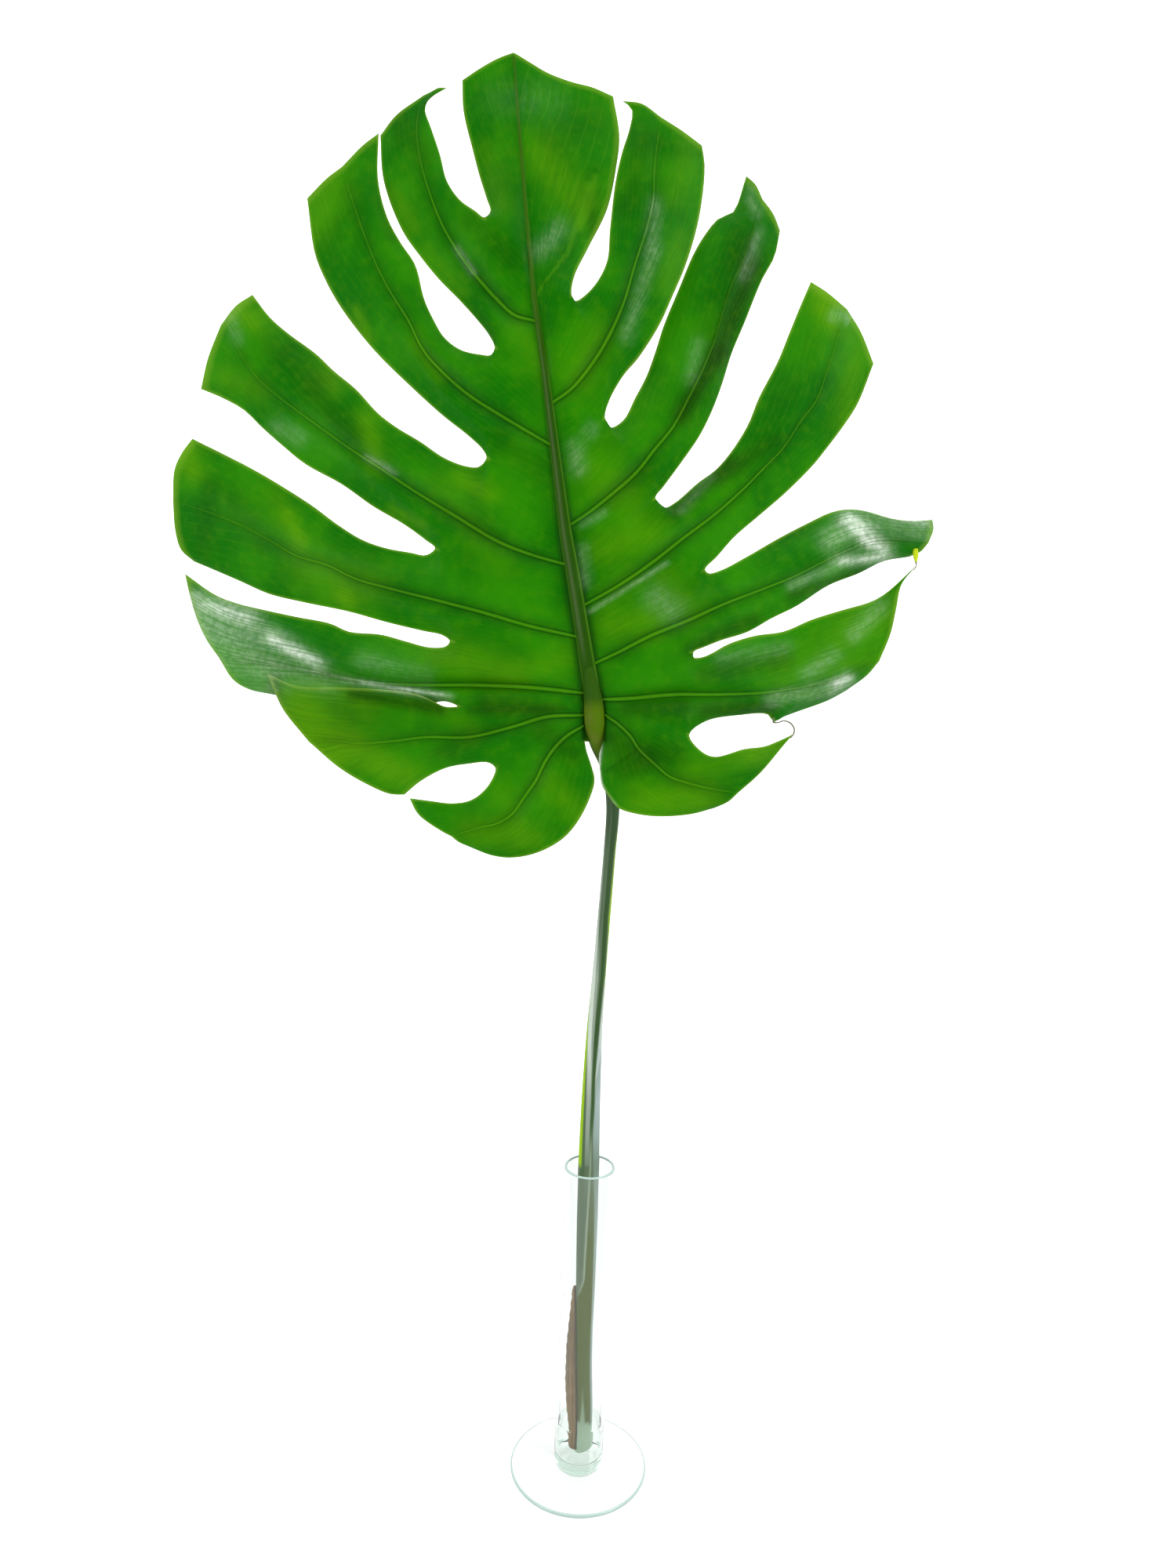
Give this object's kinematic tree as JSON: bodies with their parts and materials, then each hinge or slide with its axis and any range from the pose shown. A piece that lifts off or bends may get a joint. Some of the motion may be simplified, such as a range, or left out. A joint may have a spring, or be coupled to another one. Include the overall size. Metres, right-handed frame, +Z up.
{
  "type": "monstera leaf",
  "caption": "Large split leaf on a long green stalk, standing in a slim clear glass tube vase with a round glass foot and a little water.",
  "frame": {"origin": "centre of the glass foot's underside, on the surface that the vase stands on", "axes": "+Z up along the tube; +Y away from the side that the leaf's upper face looks to; +X to the right as the upper face is seen"},
  "size_m": [0.4563, 0.1101, 0.8249],
  "materials": {
    "leaf": "waxy, softly glossy",
    "stalk": "smooth, satin",
    "dry_sheath": "dry, fibrous, matte",
    "glass": "clear, polished",
    "water": "clear liquid"
  },
  "bodies": {
    "root": {"leaf_blade": "leaf", "petiole": "stalk", "petiole_sheath": "dry_sheath", "vase_tube": "glass", "vase_foot": "glass", "water": "water"}
  },
  "joints": []
}
